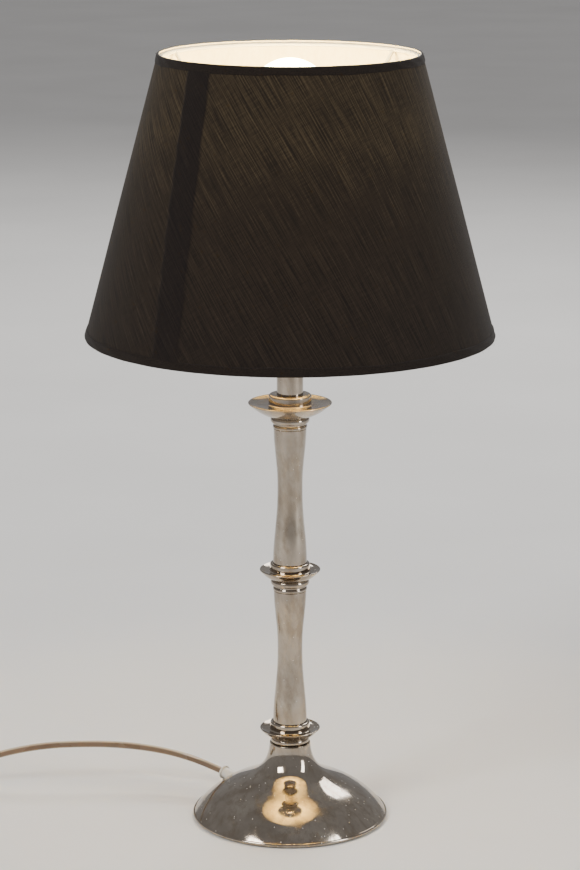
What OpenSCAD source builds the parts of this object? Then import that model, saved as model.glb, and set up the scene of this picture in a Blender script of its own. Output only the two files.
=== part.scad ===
// Table lamp: bell base, turned metal stem on a threaded rod, screw-in bulb and tapered fabric shade.
// Origin: centre of the base's underside, on the table. +Z up, +X to the right, +Y to the back.

/* [Base] */
// Outer radius of the bell base at its rolled rim
base_r = 74; // [72:0.5:76]
// Height of the bell's flat top above the table
base_h = 58; // [56:0.5:60]
// Wall thickness of the spun bell
base_wall = 1.2; // [1:0.1:1.5]

/* [Stem] */
// Length of each stem tube
stem_len = 103; // [95:1:110]
// Radius of a stem tube at its waist
stem_waist_r = 9.35; // [9:0.05:9.8]
// Radius of a stem tube at its foot
stem_foot_r = 12.7; // [12.2:0.1:13.2]
// Radius of a stem tube at its head
stem_head_r = 12.2; // [11.8:0.1:12.7]
// Radius of the two small saucers
disc_r = 22.7; // [21:0.1:24]
// Radius of the drip dish under the shade
dish_r = 31; // [29:0.5:33]

/* [Bulb holder] */
// Radius of the plain neck tube above the dish
neck_r = 9.8; // [9.5:0.1:10.2]
// Length of the neck tube
neck_len = 112; // [108:1:114]
// Travel of the push bar that switches the lamp
switch_travel = 5; // [3:0.5:6]

/* [Bulb] */
// Radius of the bulb's globe
globe_r = 30; // [27:0.5:30]

/* [Shade] */
// Outer radius of the shade at its top edge
shade_top_r = 95; // [92:1:98]
// Outer radius of the shade at its bottom edge
shade_foot_r = 150; // [147:1:153]
// Height of the shade's bottom edge above the table
shade_foot_z = 373; // [371:0.5:375]
// Height of the shade's top edge above the table
shade_top_z = 578.5; // [577:0.5:580]

/* [Mains lead] */
// Width of the flat twin lead, which stands on edge
lead_w = 5.4; // [5.2:0.1:5.6]
// Thickness of the flat twin lead
lead_t = 3.2; // [3:0.1:3.4]

/* [Hidden] */
$fn = 96;

// Clearances: a gap between parts that turn or slide on each other, and a working gap for the eye
running_gap = 0.06;
free_gap = 0.3;

// Heights of the stack along the threaded rod
felt_t = 1.2;
plate_t = 1.6;
plate_z = felt_t;
weight_z = plate_z + plate_t;
weight_h = 9;
weight_r = 58;
collar_short_h = 4.3;
disc_h = 12.4;
collar_h = 9.2;
dish_h = 16.7;
collar_1_z = base_h;
disc_1_z = collar_1_z + collar_short_h;
stem_1_z = disc_1_z + disc_h;
collar_2_z = stem_1_z + stem_len;
disc_2_z = collar_2_z + collar_h;
stem_2_z = disc_2_z + disc_h;
collar_3_z = stem_2_z + stem_len;
dish_z = collar_3_z + collar_h;
neck_z = dish_z + dish_h;
holder_z = neck_z + neck_len;

// Threaded rod, M10 x 1, drilled for the lead
rod_r = 5;
rod_bore_r = 3.6;
rod_foot_z = 38;
rod_top_z = holder_z + 10;
rod_hole_r = rod_r + 0.1;

// Bulb holder, screw size E27
cap_h = 24;
cap_r = 19.5;
cap_wall = 2;
bar_r = 2.5;
bar_z = holder_z + 16;
cap_floor = 4;
sleeve_z = holder_z + cap_h;
sleeve_h = 34;
sleeve_r = 19;
sleeve_bore_r = 16.4;
thread_depth = 0.8;
shell_r = 14.1;
shell_t = 0.5;
insert_z = sleeve_z;
insert_h = 5;
insert_r = sleeve_bore_r - free_gap;
ring_r = 27;
ring_hole_r = sleeve_r + thread_depth + free_gap;
nut_h = 4;
fitter_t = 2;
fitter_z = sleeve_z + 11;

// Bulb, standing on the holder's centre contact
bulb_foot_z = insert_z + insert_h + 1.2;
bulb_cap_r = 13.2;
cap_z = bulb_foot_z + 3;
bulb_cap_h = 22.5;
globe_z = bulb_foot_z + 74.5;

// Shade
cover_t = 0.8;
lining_t = 0.5;
shade_h = shade_top_z - shade_foot_z;
shade_slope = (shade_foot_r - shade_top_r) / shade_h;
wire_r = 1.5;
trim_h = 6;
trim_t = 0.5;
arm_turns = [35, 155, 275];

// Lead: where it leaves the bell, and its route to the coil
gland_r = 4.2;
gland_at = [-46, 30.5, 19.2];
gland_turn = 138;
gland_tilt = 8;
ROUTE_LEAD = [[-41.5, 26.5, 18.4], [-46, 30.5, 19.2], [-52, 36, 20.4], [-59, 42, 21.4],
    [-68, 49, 22.8], [-79, 55, 24.8], [-94, 60, 27.4], [-112, 63.5, 29.7], [-130, 65.5, 31.1],
    [-148, 66, 31.9], [-166, 65.5, 32], [-184, 64.5, 31.6], [-202, 63.5, 29.8], [-218, 63, 26.8],
    [-232, 62.5, 23.2], [-245, 62.3, 19.2], [-257, 62.2, 15.4], [-268, 62.2, 12.3],
    [-276, 62.2, 10.4], [-284, 62.2, 9.3]];
ROUTE_INSIDE = [[-41.5, 26.5, 18.4], [-37, 22.6, 17.6], [-31, 18.4, 16.2], [-25, 14, 15.5],
    [-18, 9.6, 16], [-11, 6, 18.6], [-5, 3, 23.5], [-1.5, 1, 30], [0, 0, 38], [0, 0, 60],
    [0, 0, 120], [0, 0, 200], [0, 0, 300], [0, 0, 400], [0, 0, 440], [0, 0, 451]];
ROUTE_TAIL = [[-247.2, 99, 3.6], [-247.3, 90, 3.5], [-248, 80, 3.2], [-250.5, 68, 3],
    [-253.5, 57, 3.6], [-255, 48, 5.4], [-255, 40, 6.9]];
coil_at = [-284, 99];
coil_z = 0.9;
coil_h = 11.1;
coil_out_r = 38.4;
coil_in_r = 22.4;
tie_w = 8;
tie_t = 0.9;
tie_turn = 205;
plug_face = [-255, 4, 6.9];
plug_len = 30;
pin_len = 19;
pin_r = 2;
pin_pitch = 18.6;
relief_len = 6;

// One point of a cubic curve with four control points
function bezier(p, t) = pow(1 - t, 3) * p[0] + 3 * pow(1 - t, 2) * t * p[1]
    + 3 * (1 - t) * t * t * p[2] + pow(t, 3) * p[3];

// Bell outline from the neck down to the rim, as [radius, height]
bell_top_r = 15.4;
bell_arc_r = 78;
bell_neck = [[bell_top_r, base_h], [16.5, 38], [26, 34], [42, 27]];
bell_edge = [base_r - 1.4, 3.4];
bell_steps = 14;
function bell_outline() = concat(
    [for (k = [0 : bell_steps]) bezier(bell_neck, k / bell_steps)],
    [for (k = [1 : bell_steps]) arc_point(bell_neck[3], bell_edge, bell_arc_r, k / bell_steps)]);

// One point of the arc of radius r from a to b, bulging up and out
function arc_point(a, b, r, t) =
    let (mid = (a + b) / 2, half = norm(b - a) / 2, along = (b - a) / norm(b - a),
        inward = [along[1], -along[0]], centre = mid + inward * sqrt(r * r - half * half),
        from = atan2(a[1] - centre[1], a[0] - centre[0]),
        to = atan2(b[1] - centre[1], b[0] - centre[0]), turn = from + (to - from) * t)
    centre + r * [cos(turn), sin(turn)];

// The outline moved inwards by the wall's thickness
function inset(path, d) = [for (k = [0 : len(path) - 1])
    let (a = path[max(k - 1, 0)], b = path[min(k + 1, len(path) - 1)], way = (b - a) / norm(b - a))
    path[k] + d * [way[1], -way[0]]];
function reversed(list) = [for (k = [len(list) - 1 : -1 : 0]) list[k]];

// Point of a smooth route at piece k and share t, through the route's own points
function knot(route, k) = route[min(max(k, 0), len(route) - 1)];
function route_at(route, k, t) =
    let (a = knot(route, k - 1), b = knot(route, k), c = knot(route, k + 1), d = knot(route, k + 2))
    0.5 * (2 * b + (c - a) * t + (2 * a - 5 * b + 4 * c - d) * t * t
        + (3 * b - a - 3 * c + d) * t * t * t);
function smooth_route(route, steps) = concat(
    [for (k = [0 : len(route) - 2]) for (s = [0 : steps - 1]) route_at(route, k, s / steps)],
    [route[len(route) - 1]]);

// A flat lead swept along a route. side fixes the thin direction, or is [] for a lead on edge
module flat_lead(route, steps, sides, side = []) {
    path = smooth_route(route, steps);
    last = len(path) - 1;
    rings = [for (k = [0 : last])
        let (way = path[min(k + 1, last)] - path[max(k - 1, 0)], along = way / norm(way),
            flat = len(side) > 0 ? side : [along[1], -along[0], 0] / norm([along[0], along[1]]),
            tall = cross(flat, along))
        for (s = [0 : sides - 1])
            path[k] + flat * lead_t / 2 * cos(360 * s / sides)
                + tall * lead_w / 2 * sin(360 * s / sides)];
    skin = [for (k = [0 : last - 1]) for (s = [0 : sides - 1])
        [k * sides + s, k * sides + (s + 1) % sides, (k + 1) * sides + (s + 1) % sides,
            (k + 1) * sides + s]];
    polyhedron(rings, concat(skin, [[for (s = [sides - 1 : -1 : 0]) s]],
        [[for (s = [0 : sides - 1]) last * sides + s]]));
}

// A round part turned from an outline, with a bore
module turned(outline) { rotate_extrude() polygon(outline); }

// A hollow cylinder
module pipe(r, bore, h) {
    difference() {
        cylinder(r = r, h = h);
        translate([0, 0, -1]) cylinder(r = bore, h = h + 2);
    }
}

// Places children on the lead's exit, with +Z pointing out of the bell
module at_gland() {
    translate(gland_at) rotate([0, 90 - gland_tilt, gland_turn]) children();
}

/* Base */

module felt_pad() { color("dimgray") cylinder(r = base_r - 4.6, h = felt_t); }

plate_r = base_r - 3.4;
screw_turns = [60, 180, 300];
plate_screw_ring = 46;
screw_r = 2;
screw_head_r = 3.6;
screw_head_h = 1.4;
screw_bite = 6;

module base_plate() {
    color("silver") difference() {
        translate([0, 0, plate_z]) cylinder(r = plate_r - free_gap, h = plate_t);
        for (a = screw_turns) rotate(a) translate([plate_screw_ring, 0, 0]) {
            translate([0, 0, plate_z - 1]) cylinder(r = screw_r, h = plate_t + 2);
            translate([0, 0, plate_z - 1]) cylinder(r = screw_head_r, h = 1 + screw_head_h);
        }
    }
}

module plate_screws() {
    color("gainsboro") for (a = screw_turns) rotate(a) translate([plate_screw_ring, 0, plate_z]) {
        cylinder(r = screw_head_r, h = screw_head_h);
        cylinder(r = screw_r, h = plate_t + screw_bite);
    }
}

clamp_at = [-25, 14];
clamp_turn = 146;
clamp_span = 14;
clamp_w = 7;
clamp_h = 8.2;
clamp_slot_h = 6.8;
clamp_ear = 4;
clamp_screw_r = 1.5;
clamp_bite = 5;

module at_clamp() {
    translate([clamp_at[0], clamp_at[1], weight_z + weight_h]) rotate(clamp_turn) children();
}

module base_weight() {
    color("dimgray") difference() {
        translate([0, 0, weight_z]) turned([[0, 0], [weight_r, 0], [weight_r, weight_h - 2],
            [weight_r - 2, weight_h], [0, weight_h]]);
        for (a = screw_turns) rotate(a) translate([plate_screw_ring, 0, weight_z - 1])
            cylinder(r = screw_r, h = 1 + screw_bite);
        at_clamp() for (s = [-1, 1]) translate([0, s * clamp_span / 2, -clamp_bite])
            cylinder(r = clamp_screw_r, h = 2 * clamp_bite);
    }
}

module cord_clamp() {
    color("white") at_clamp() difference() {
        translate([-clamp_w / 2, -clamp_span / 2 - clamp_ear, 0])
            cube([clamp_w, clamp_span + 2 * clamp_ear, clamp_h]);
        translate([-clamp_w, -2, -1]) cube([2 * clamp_w, 4, clamp_slot_h + 1]);
        for (s = [-1, 1]) translate([0, s * clamp_span / 2, -1])
            cylinder(r = clamp_screw_r, h = clamp_h + 2);
    }
}

module clamp_screws() {
    color("silver") at_clamp() for (s = [-1, 1]) translate([0, s * clamp_span / 2, 0]) {
        translate([0, 0, -clamp_bite]) cylinder(r = clamp_screw_r, h = clamp_h + clamp_bite);
        translate([0, 0, clamp_h]) cylinder(r = 2.8, h = 2);
    }
}

rim_r = 1.6;
rim_z = 2;
lip_h = 4.2;

module base_shell() {
    outer = bell_outline();
    inner = inset(outer, base_wall);
    color("tan") difference() {
        union() {
            turned(concat([[rod_hole_r, base_h]], outer, [[base_r - base_wall, 3],
                [base_r - base_wall, felt_t], [plate_r, felt_t], [plate_r, lip_h]],
                reversed([for (p = inner) if (p[1] > lip_h + 0.8
                && p[1] < base_h - 2) p]),
                [[bell_top_r - base_wall, base_h - bell_top_t], [rod_hole_r, base_h - bell_top_t]]));
            rotate_extrude() translate([base_r - rim_r, rim_z]) circle(r = rim_r, $fn = 32);
        }
        at_gland() translate([0, 0, -12]) cylinder(r = gland_r, h = 30);
        translate([0, 0, plate_z - 2]) cylinder(r = plate_r, h = 2 + plate_t);
    }
}

bushing_in = 10;
bushing_out = 8;
bushing_lip = 2;

module cord_bushing() {
    color("ivory") at_gland() difference() {
        union() {
            translate([0, 0, -bushing_in]) cylinder(r = gland_r, h = bushing_in + bushing_out);
            translate([0, 0, bushing_out - bushing_lip])
                cylinder(r1 = gland_r + 1, r2 = gland_r, h = bushing_lip);
        }
        translate([0, 0, -bushing_in - 1])
            cylinder(r = lead_w / 2 + free_gap, h = bushing_in + bushing_out + 2);
    }
}

bell_top_t = 1.6;
washer_r = 12;
washer_t = 1.6;
washer_z = base_h - bell_top_t - washer_t;
base_nut_r = 9.8;
base_nut_h = 6;

module base_washer() {
    color("silver") translate([0, 0, washer_z]) pipe(washer_r, rod_hole_r, washer_t);
}

// A hexagon nut on the rod; r reaches its corners
module rod_nut(r, h) {
    difference() {
        cylinder(r = r, h = h, $fn = 6);
        translate([0, 0, -1]) cylinder(r = rod_r, h = h + 2);
    }
}

module base_nut() {
    color("silver") translate([0, 0, washer_z - base_nut_h]) rod_nut(base_nut_r, base_nut_h);
}

module threaded_rod() {
    color("goldenrod") translate([0, 0, rod_foot_z]) pipe(rod_r, rod_bore_r, rod_top_z - rod_foot_z);
}

/* Stem */

bead_r = 14.5;
round_steps = 10;

// Half of a round bead that stands out to radius r between heights z0 and z1
function bead(r, z0, z1, root) = [for (k = [0 : round_steps])
    let (a = -90 + 180 * k / round_steps)
    [root + (r - root) * cos(a), (z0 + z1) / 2 + (z1 - z0) / 2 * sin(a)]];

module base_collar() {
    color("tan") translate([0, 0, collar_1_z]) turned(concat([[rod_hole_r, 0]],
        bead(bead_r + 0.2, 0, collar_short_h, bead_r - 1.6), [[rod_hole_r, collar_short_h]]));
}

module stem_collar(z) {
    ring_r = 12.8;
    cove_r = 11.9;
    color("tan") translate([0, 0, z]) turned(concat([[rod_hole_r, 0]],
        bead(ring_r, 0, 2.8, ring_r - 1), [[cove_r, 3], [cove_r, 4.1]],
        bead(bead_r, 4.3, collar_h, bead_r - 2), [[rod_hole_r, collar_h]]));
}
module middle_collar() { stem_collar(collar_2_z); }
module top_collar() { stem_collar(collar_3_z); }

// A thin saucer with a raised boss in its middle
module saucer(z, r, h, boss_r, boss_h) {
    rim_z = h - boss_h;
    edge = 0.5;
    color("burlywood") translate([0, 0, z]) turned(concat(
        [[rod_hole_r, 0], [bead_r - 0.6, 0]],
        [for (k = [1 : round_steps]) let (t = k / round_steps)
            [bead_r - 0.6 + (r - bead_r + 0.6 - edge) * t, (rim_z - 2 * edge) * (0.35 * t + 0.65 * t * t)]],
        [for (k = [0 : 6]) let (a = -90 + 30 * k) [r - edge + edge * cos(a), rim_z - edge + edge * sin(a)]],
        [for (k = [1 : round_steps]) let (t = 1 - k / round_steps)
            [boss_r + 1 + (r - boss_r - 1 - edge) * t, rim_z - 1.5 * (1 - t * t)]],
        [for (k = [0 : 6]) let (a = 15 * k)
            [boss_r - 1.5 + 1.5 * cos(a), h - 1.5 + 1.5 * sin(a)]],
        [[rod_hole_r, h]]));
}
module lower_disc() { saucer(disc_1_z, disc_r, disc_h, 15, 5); }
module middle_disc() { saucer(disc_2_z, disc_r, disc_h, 15, 5); }
module top_dish() { saucer(dish_z, dish_r, dish_h, 15.8, 6.2); }

// Radius of a stem tube at share t of its length, waisted a little above the middle
waist_at = 0.56;
function stem_r(t) =
    let (u = t < waist_at ? (waist_at - t) / waist_at : (t - waist_at) / (1 - waist_at),
        end_r = t < waist_at ? stem_foot_r : stem_head_r)
    stem_waist_r + (end_r - stem_waist_r) * pow((1 - cos(180 * u)) / 2, 1.2);
stem_steps = 24;
stem_wall = 1.4;

module stem_tube(z) {
    color("rosybrown") translate([0, 0, z]) turned(concat(
        [for (k = [0 : stem_steps]) let (t = k / stem_steps) [stem_r(t), stem_len * t]],
        [for (k = [stem_steps : -1 : 0]) let (t = k / stem_steps)
            [stem_r(t) - stem_wall, stem_len * t]]));
}
module lower_stem() { stem_tube(stem_1_z); }
module upper_stem() { stem_tube(stem_2_z); }

module neck_tube() { color("burlywood") translate([0, 0, neck_z]) pipe(neck_r, neck_r - 1.2, neck_len); }

/* Bulb holder and switch */

module holder_cap() {
    color("black") translate([0, 0, holder_z]) difference() {
        turned([[rod_hole_r, 0], [11, 0], [14.5, 1.5], [17.5, 4.5], [19, 8], [cap_r, 12],
            [cap_r, cap_h], [cap_r - cap_wall, cap_h], [cap_r - cap_wall, 12], [16.6, 8.5],
            [14, 5.5], [11, cap_floor], [rod_hole_r, cap_floor]]);
        translate([-30, 0, bar_z - holder_z]) rotate([0, 90, 0]) cylinder(r = bar_r + 0.4, h = 60);
    }
}

module holder_nut() { color("silver") translate([0, 0, holder_z + cap_floor]) rod_nut(8, 4); }

block_r = 13;
block_h = 10;
bar_drop = 4.6;
contact_at = 8;
contact_r = 1.6;

module switch_block() {
    color("ivory") translate([0, 0, bar_z - bar_drop]) difference() {
        cylinder(r = block_r, h = block_h);
        translate([-block_r - 1, 0, bar_drop]) rotate([0, 90, 0])
            cylinder(r = bar_r + running_gap, h = 2 * block_r + 2);
        for (s = [-1, 1]) translate([0, s * contact_at, -1]) cylinder(r = contact_r, h = block_h + 2);
    }
}

bar_half = cap_r + 4.5;
button_r = 3.4;
button_t = 1.2;

module switch_bar() {
    color("whitesmoke") translate([-switch_travel / 2, 0, bar_z]) rotate([0, 90, 0]) {
        translate([0, 0, -bar_half]) cylinder(r = bar_r, h = 2 * bar_half);
        for (s = [-1, 1]) translate([0, 0, s * (bar_half + button_t / 2) - button_t / 2])
            cylinder(r = button_r, h = button_t);
    }
}

module switch_contacts() {
    color("goldenrod") for (s = [-1, 1]) translate([0, s * contact_at, bar_z - bar_drop])
        cylinder(r = contact_r, h = insert_z - bar_z + bar_drop);
}

terminal_at = 10;
terminal_r = 1.5;
terminal_head_r = 2.6;
terminal_head_h = 2;

module holder_insert() {
    color("white") translate([0, 0, insert_z]) difference() {
        union() {
            cylinder(r = insert_r, h = insert_h);
            translate([0, 0, insert_h]) pipe(insert_r, shell_r, 4);
        }
        for (s = [-1, 1]) translate([s * terminal_at, 0, -1]) cylinder(r = terminal_r, h = insert_h - 1);
    }
}

module terminal_screws() {
    color("gold") for (s = [-1, 1]) translate([s * terminal_at, 0, insert_z - terminal_head_h]) {
        cylinder(r = terminal_head_r, h = terminal_head_h);
        cylinder(r = terminal_r, h = insert_h);
    }
}

contact_l = 12;
contact_w = 5;
contact_t = 1.1;

module centre_contact() {
    color("gold") translate([-contact_l / 2, -contact_w / 2, insert_z + insert_h])
        cube([contact_l, contact_w, contact_t]);
}

shell_h = 26;
module screw_shell() {
    color("gold") translate([0, 0, insert_z + insert_h]) pipe(shell_r, shell_r - shell_t, shell_h);
}

thread_pitch = 2.5;
thread_foot = 3;
module holder_sleeve() {
    turns = 11;
    color("black") translate([0, 0, sleeve_z]) turned(concat(
        [[sleeve_bore_r, 0], [sleeve_r, 0], [sleeve_r, thread_foot]],
        [for (k = [0 : turns - 1]) let (z = thread_foot + k * thread_pitch) each [
            [sleeve_r, z + 0.4], [sleeve_r + thread_depth, z + 1],
            [sleeve_r + thread_depth, z + 1.5], [sleeve_r, z + 2.1]]],
        [[sleeve_r, sleeve_h - 1], [sleeve_r - 1, sleeve_h], [sleeve_bore_r, sleeve_h]]));
}

// A ring nut with finger ribs around its edge
nut_gap = 0.1;
module ring_nut(z) {
    ribs = 24;
    color("black") translate([0, 0, z]) difference() {
        cylinder(r = ring_r, h = nut_h);
        translate([0, 0, -1]) cylinder(r = sleeve_r + thread_depth, h = nut_h + 2);
        for (k = [0 : ribs - 1]) rotate(360 * k / ribs) translate([ring_r + 0.6, 0, -1])
            cylinder(r = 1.4, h = nut_h + 2, $fn = 24);
    }
}
module lower_ring_nut() { ring_nut(fitter_z - nut_gap - nut_h); }
module upper_ring_nut() { ring_nut(fitter_z + fitter_t + nut_gap); }

/* Shade */

// Inner radius of the lining at height z
function lining_r(z) = shade_foot_r - cover_t - lining_t - (z - shade_foot_z) * shade_slope;
top_wire_z = shade_top_z - 3;
top_wire_r = lining_r(top_wire_z) - wire_r - 0.1;
foot_wire_z = shade_foot_z + 3;
foot_wire_r = lining_r(foot_wire_z) - wire_r - 0.5;
arm_foot_r = 29;

module shade_fitter() {
    rise = top_wire_z - fitter_z - fitter_t / 2;
    run = top_wire_r - arm_foot_r;
    color("silver") union() {
        translate([0, 0, fitter_z]) pipe(ring_r + 4, ring_hole_r, fitter_t);
        for (a = arm_turns) rotate(a) translate([arm_foot_r, 0, fitter_z + fitter_t / 2])
            rotate([0, atan2(run, rise), 0]) cylinder(r = wire_r, h = norm([run, rise]), $fn = 24);
    }
}

module shade_top_ring() {
    color("silver") rotate_extrude() translate([top_wire_r, top_wire_z]) circle(r = wire_r, $fn = 24);
}

module shade_foot_ring() {
    color("silver") rotate_extrude() translate([foot_wire_r, foot_wire_z]) circle(r = wire_r, $fn = 24);
}

// A tapered skin of thickness t whose outside lies at depth in from the shade's outer face
module shade_skin(z0, z1, in, t) {
    r0 = shade_foot_r - in - (z0 - shade_foot_z) * shade_slope;
    r1 = shade_foot_r - in - (z1 - shade_foot_z) * shade_slope;
    turned([[r0, z0], [r1, z1], [r1 - t, z1], [r0 - t, z0]]);
}
module shade_lining() { color("white") shade_skin(shade_foot_z, shade_top_z, cover_t, lining_t); }
module shade_cover() { color("saddlebrown") shade_skin(shade_foot_z, shade_top_z, 0, cover_t); }
module shade_top_trim() {
    color("saddlebrown") shade_skin(shade_top_z - trim_h, shade_top_z, -trim_t, trim_t);
}
module shade_foot_trim() {
    color("saddlebrown") shade_skin(shade_foot_z, shade_foot_z + trim_h, -trim_t, trim_t);
}

/* Bulb */

glass_t = 0.8;
glass_neck_r = bulb_cap_r - 1.2;
neck_join_z = cap_z + bulb_cap_h - 3;
// Outline of the bulb's glass, smaller by d: globe, then a hollow curve down to the neck
function glass_outline(d) = concat(
    [for (k = [0 : 20]) let (a = 90 - 125 * k / 20)
        [(globe_r - d) * cos(a), globe_z + (globe_r - d) * sin(a)]],
    [for (k = [1 : 8]) let (t = k / 8, a = -35, p = [(globe_r - d) * cos(a),
        globe_z + (globe_r - d) * sin(a)], q = [glass_neck_r - d, neck_join_z])
        bezier([p, p + 14 * [sin(a), -cos(a)], q + [0, 16], q], t)]);

module bulb_glass() {
    outer = glass_outline(0);
    inner = glass_outline(glass_t);
    color("lightyellow") turned(concat(outer, reversed(inner)));
}

module bulb_cap() {
    rings = 5;
    pitch = 3.6;
    color("silver") turned(concat([[6, cap_z], [11, cap_z], [12.4, cap_z + 1.5]],
        [for (k = [0 : rings - 1]) for (a = [0 : 45 : 315])
            [bulb_cap_r - 0.4 - 0.4 * cos(a), cap_z + 2 + pitch * (k + a / 360)]],
        [[bulb_cap_r - 0.6, cap_z + 20.4], [bulb_cap_r - 0.6, cap_z + bulb_cap_h],
            [bulb_cap_r - 1, cap_z + bulb_cap_h], [bulb_cap_r - 1, cap_z + 19], [11.9, cap_z + 18],
            [11.9, cap_z + 2], [10.6, cap_z + 0.6], [6, cap_z + 0.6]]));
}

module bulb_insulator() {
    color("black") turned([[2.5, bulb_foot_z + 1], [5, bulb_foot_z + 1], [9.5, cap_z],
        [6, cap_z], [6, cap_z + 0.6], [5, cap_z + 1.6], [2.5, cap_z + 1.6]]);
}

module bulb_tip() {
    color("gainsboro") turned([[0, bulb_foot_z], [2.5, bulb_foot_z],
        [4, bulb_foot_z + 0.5], [4, bulb_foot_z + 1], [2.5, bulb_foot_z + 1],
        [2.5, bulb_foot_z + 2.5], [0, bulb_foot_z + 2.5]]);
}

mount_top_z = globe_z - 8;
module bulb_mount() {
    color("lightcyan") turned([[0, cap_z + 8], [10.4, cap_z + 8], [9.6, cap_z + 13],
        [4, cap_z + 20], [3, cap_z + 34], [2, mount_top_z], [0, mount_top_z]]);
}

filament_r = 10;
module bulb_filament() {
    color("orange")
        rotate_extrude(angle = 250) translate([filament_r, mount_top_z + 6]) circle(r = 0.6, $fn = 16);
    color("orange") for (a = [0, 125, 250]) rotate(a) {
        lean = atan2(filament_r - 1, 9);
        translate([1, 0, mount_top_z - 3]) rotate([0, lean, 0])
            cylinder(r = 0.4, h = norm([filament_r - 1, 9]), $fn = 16);
    }
}

/* Mains lead */

module cord_inside() {
    color("bisque") flat_lead(ROUTE_INSIDE, 3, 8, [sin(gland_turn), -cos(gland_turn), 0]);
}
module cord_lead() { color("bisque") flat_lead(ROUTE_LEAD, 3, 12); }
module cord_tail() { color("bisque") flat_lead(ROUTE_TAIL, 2, 12); }

module cord_coil() {
    color("bisque") translate([coil_at[0], coil_at[1], coil_z]) rotate_extrude()
        translate([coil_in_r, 0]) square([coil_out_r - coil_in_r, coil_h]);
}

module cord_tie() {
    depth = coil_out_r - coil_in_r + 0.5;
    color("black") translate([coil_at[0], coil_at[1], 0]) rotate(tie_turn)
        translate([coil_in_r - 0.5, -tie_w / 2, 0]) difference() {
            translate([-tie_t, 0, 0]) cube([depth + 2 * tie_t, tie_w, coil_h + 2 * tie_t]);
            translate([0, -1, tie_t]) cube([depth, tie_w + 2, coil_h]);
        }
}

module plug_body() {
    thick = 2 * plug_face[2];
    color("ivory") union() {
        translate([plug_face[0], plug_face[1], 0]) linear_extrude(thick)
            polygon([[-13, 0], [13, 0], [17.6, 8], [17.6, 19], [13, 26], [7, plug_len],
                [-7, plug_len], [-13, 26], [-17.6, 19], [-17.6, 8]]);
        translate([plug_face[0], plug_face[1] + plug_len, plug_face[2]]) rotate([-90, 0, 0])
            cylinder(r1 = 5.4, r2 = 3.9, h = relief_len);
    }
}

module plug_pins() {
    color("silver") for (s = [-1, 1])
        translate([plug_face[0] + s * pin_pitch / 2, plug_face[1], plug_face[2]])
            rotate([90, 0, 0]) cylinder(r = pin_r, h = pin_len);
}

felt_pad();
base_plate();
plate_screws();
base_weight();
cord_clamp();
clamp_screws();
base_shell();
cord_bushing();
base_washer();
base_nut();
threaded_rod();
base_collar();
lower_disc();
lower_stem();
middle_collar();
middle_disc();
upper_stem();
top_collar();
top_dish();
neck_tube();
holder_cap();
holder_nut();
switch_block();
switch_bar();
switch_contacts();
holder_insert();
terminal_screws();
centre_contact();
screw_shell();
holder_sleeve();
lower_ring_nut();
upper_ring_nut();
shade_fitter();
shade_top_ring();
shade_foot_ring();
shade_lining();
shade_cover();
shade_top_trim();
shade_foot_trim();
bulb_glass();
bulb_cap();
bulb_insulator();
bulb_tip();
bulb_mount();
bulb_filament();
cord_inside();
cord_lead();
cord_coil();
cord_tail();
cord_tie();
plug_body();
plug_pins();
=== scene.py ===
"""Looks of the table lamp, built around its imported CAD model.

Lengths are metres. Outlines and the constants that they use are millimetres, until mm() or MM scales them.
"""
import math
import random

import bmesh
import bpy
from mathutils import Matrix, Vector


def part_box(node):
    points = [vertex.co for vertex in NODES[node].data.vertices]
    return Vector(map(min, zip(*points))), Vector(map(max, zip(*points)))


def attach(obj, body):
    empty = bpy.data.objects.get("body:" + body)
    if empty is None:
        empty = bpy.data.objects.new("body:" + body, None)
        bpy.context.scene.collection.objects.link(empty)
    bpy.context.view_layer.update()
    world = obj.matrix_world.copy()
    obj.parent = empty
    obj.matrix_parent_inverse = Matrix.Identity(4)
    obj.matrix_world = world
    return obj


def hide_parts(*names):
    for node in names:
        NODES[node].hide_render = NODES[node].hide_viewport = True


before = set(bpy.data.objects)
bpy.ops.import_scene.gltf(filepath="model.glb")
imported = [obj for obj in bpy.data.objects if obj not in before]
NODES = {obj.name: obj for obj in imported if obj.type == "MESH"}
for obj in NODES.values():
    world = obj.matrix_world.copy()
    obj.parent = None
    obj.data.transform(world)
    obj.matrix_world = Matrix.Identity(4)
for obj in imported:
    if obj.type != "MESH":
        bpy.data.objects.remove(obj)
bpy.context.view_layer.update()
MM = 0.001

# ---------------- camera

CAMERA_DISTANCE = 2.0293
CAMERA_HEIGHT = 0.7826
CAMERA_PITCH = 13.46  # degrees below the horizon
CAMERA_LENS = 116.7
SENSOR = 36


def add_camera():
    data = bpy.data.cameras.new("camera")
    data.lens = CAMERA_LENS
    data.sensor_width = SENSOR
    data.clip_start = 0.05
    camera = bpy.data.objects.new("camera", data)
    camera.location = (0, -CAMERA_DISTANCE, CAMERA_HEIGHT)
    camera.rotation_euler = (math.radians(90 - CAMERA_PITCH), 0, 0)
    bpy.context.collection.objects.link(camera)
    bpy.context.scene.camera = camera


add_camera()

# ---------------- node trees


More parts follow.
